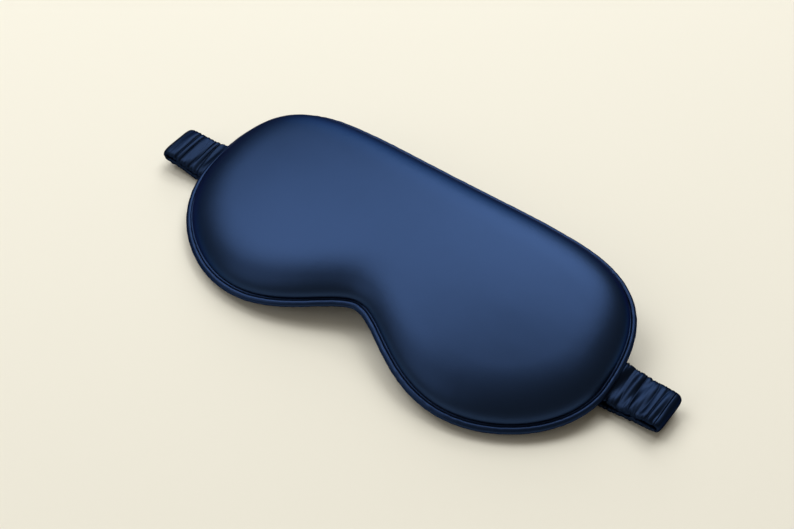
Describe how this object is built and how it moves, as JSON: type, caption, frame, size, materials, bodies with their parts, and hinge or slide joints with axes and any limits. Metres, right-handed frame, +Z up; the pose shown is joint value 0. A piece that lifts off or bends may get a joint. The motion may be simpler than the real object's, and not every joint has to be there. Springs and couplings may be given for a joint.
{
  "type": "sleep eye mask",
  "caption": "Padded satin sleep mask with a piped edge, a nose notch and a gathered elastic strap that loops round the head from temple to temple.",
  "frame": {"origin": "on the ground under the middle of the mask's footprint, where the strap's back run lies", "axes": "+X along the mask from the wearer's left temple to the right as it is seen from the front, +Y towards the brow edge, +Z up, out of the front panel"},
  "size_m": [0.259, 0.0958, 0.0336],
  "materials": {
    "satin": "smooth navy satin with a soft sheen",
    "piping": "bias-cut navy satin drawn tight round a cord",
    "lining": "matt black woven blackout cloth",
    "filling": "off-white soft wadding",
    "cord": "twisted cotton cord",
    "elastic": "ribbed woven elastic",
    "thread": "twisted navy sewing thread"
  },
  "bodies": {
    "strap": {"strap_sleeve_back": "satin", "strap_elastic_back": "elastic", "strap_sleeve_left": "satin", "strap_sleeve_right": "satin", "strap_elastic_left": "elastic", "strap_elastic_right": "elastic"},
    "mask": {"front_panel": "satin", "back_panel": "satin", "blackout_liner": "lining", "padding_core": "filling", "piping_cover": "piping", "piping_cord": "cord", "seam_thread": "thread", "bar_tack_left": "thread", "bar_tack_right": "thread"}
  },
  "joints": [
    {"name": "strap_pull", "type": "slide", "parent": "strap", "child": "mask", "axis": [0, 0, 1], "range_m": [0, 0.08], "stiffness_N_per_m": 60, "deforming": ["strap_sleeve_left", "strap_sleeve_right", "strap_elastic_left", "strap_elastic_right"]}
  ]
}
